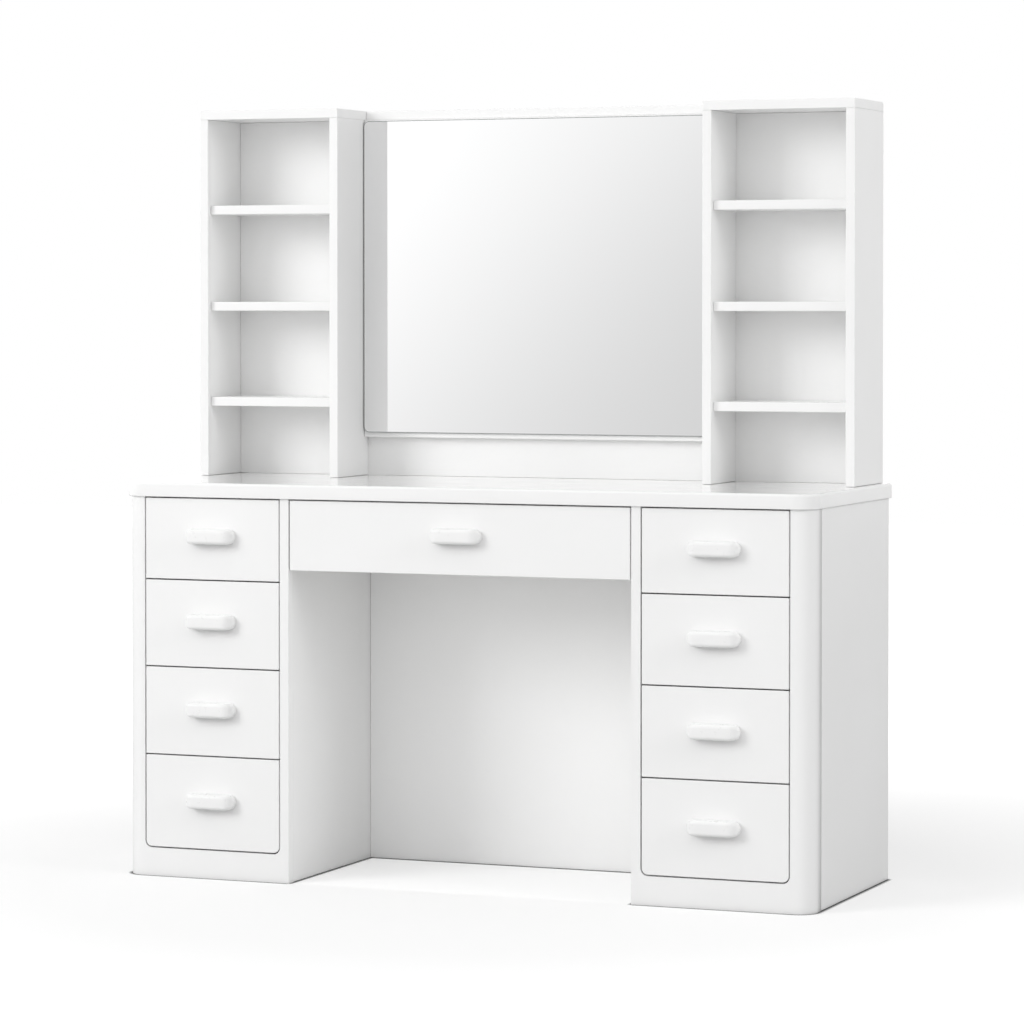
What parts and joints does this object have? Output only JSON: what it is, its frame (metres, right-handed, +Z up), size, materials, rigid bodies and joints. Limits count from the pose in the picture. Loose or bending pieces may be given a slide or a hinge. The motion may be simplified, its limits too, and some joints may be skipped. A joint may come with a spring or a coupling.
{
  "type": "salon styling station",
  "caption": "Pedestal desk with inset drawers under a gloss top, carrying a mirror set between open shelf towers. All white lacquered board with soft corners.",
  "frame": {"origin": "on the floor under the middle of the bounding box of the whole station, drawers closed", "axes": "+X to the right of a person facing the station, +Y to its rear (the wall side), +Z up"},
  "size_m": [1.4, 0.508, 1.488],
  "materials": {
    "lacquered_board": "satin white lacquer over fibreboard",
    "desktop_gloss": "high-gloss white lacquer over fibreboard",
    "handle_white": "smooth white moulded",
    "drawer_lining": "pale melamine board with a fine linen grain",
    "hardboard_white": "thin painted hardboard",
    "zinc_steel": "zinc-plated pressed steel",
    "mirror_silver": "silvered float glass with a polished edge"
  },
  "bodies": {
    "root": {"centre_runner_frame": "zinc_steel", "desktop": "desktop_gloss", "hutch_back_panel": "hardboard_white", "kneehole_back_panel": "lacquered_board", "left_back_panel": "hardboard_white", "left_base_panel": "lacquered_board", "left_front_frame": "lacquered_board", "left_inner_runners": "zinc_steel", "left_inner_side": "lacquered_board", "left_outer_runners": "zinc_steel", "left_outer_side": "lacquered_board", "left_tower_inner_side": "lacquered_board", "left_tower_outer_side": "lacquered_board", "left_tower_shelf_1": "lacquered_board", "left_tower_shelf_2": "lacquered_board", "left_tower_shelf_3": "lacquered_board", "left_tower_top": "lacquered_board", "mirror_bay_top": "lacquered_board", "mirror_board": "lacquered_board", "mirror_glass": "mirror_silver", "right_back_panel": "hardboard_white", "right_base_panel": "lacquered_board", "right_front_frame": "lacquered_board", "right_inner_runners": "zinc_steel", "right_inner_side": "lacquered_board", "right_outer_runners": "zinc_steel", "right_outer_side": "lacquered_board", "right_tower_inner_side": "lacquered_board", "right_tower_outer_side": "lacquered_board", "right_tower_shelf_1": "lacquered_board", "right_tower_shelf_2": "lacquered_board", "right_tower_shelf_3": "lacquered_board", "right_tower_top": "lacquered_board"},
    "left_drawer_4": {"left_drawer_4_box": "drawer_lining", "left_drawer_4_front": "lacquered_board", "left_drawer_4_handle": "handle_white"},
    "left_drawer_3": {"left_drawer_3_box": "drawer_lining", "left_drawer_3_front": "lacquered_board", "left_drawer_3_handle": "handle_white"},
    "left_drawer_2": {"left_drawer_2_box": "drawer_lining", "left_drawer_2_front": "lacquered_board", "left_drawer_2_handle": "handle_white"},
    "left_drawer_1": {"left_drawer_1_box": "drawer_lining", "left_drawer_1_front": "lacquered_board", "left_drawer_1_handle": "handle_white"},
    "right_drawer_4": {"right_drawer_4_box": "drawer_lining", "right_drawer_4_front": "lacquered_board", "right_drawer_4_handle": "handle_white"},
    "right_drawer_3": {"right_drawer_3_box": "drawer_lining", "right_drawer_3_front": "lacquered_board", "right_drawer_3_handle": "handle_white"},
    "right_drawer_2": {"right_drawer_2_box": "drawer_lining", "right_drawer_2_front": "lacquered_board", "right_drawer_2_handle": "handle_white"},
    "right_drawer_1": {"right_drawer_1_box": "drawer_lining", "right_drawer_1_front": "lacquered_board", "right_drawer_1_handle": "handle_white"},
    "centre_drawer": {"centre_drawer_box": "drawer_lining", "centre_drawer_front": "lacquered_board", "centre_drawer_handle": "handle_white"}
  },
  "joints": [
    {"name": "left_drawer_4_slide", "type": "slide", "parent": "root", "child": "left_drawer_4", "axis": [0, -1, 0], "range_m": [0, 0.3]},
    {"name": "left_drawer_3_slide", "type": "slide", "parent": "root", "child": "left_drawer_3", "axis": [0, -1, 0], "range_m": [0, 0.3]},
    {"name": "left_drawer_2_slide", "type": "slide", "parent": "root", "child": "left_drawer_2", "axis": [0, -1, 0], "range_m": [0, 0.3]},
    {"name": "left_drawer_1_slide", "type": "slide", "parent": "root", "child": "left_drawer_1", "axis": [0, -1, 0], "range_m": [0, 0.3]},
    {"name": "right_drawer_4_slide", "type": "slide", "parent": "root", "child": "right_drawer_4", "axis": [0, -1, 0], "range_m": [0, 0.3]},
    {"name": "right_drawer_3_slide", "type": "slide", "parent": "root", "child": "right_drawer_3", "axis": [0, -1, 0], "range_m": [0, 0.3]},
    {"name": "right_drawer_2_slide", "type": "slide", "parent": "root", "child": "right_drawer_2", "axis": [0, -1, 0], "range_m": [0, 0.3]},
    {"name": "right_drawer_1_slide", "type": "slide", "parent": "root", "child": "right_drawer_1", "axis": [0, -1, 0], "range_m": [0, 0.3]},
    {"name": "centre_drawer_slide", "type": "slide", "parent": "root", "child": "centre_drawer", "axis": [0, -1, 0], "range_m": [0, 0.25]}
  ]
}
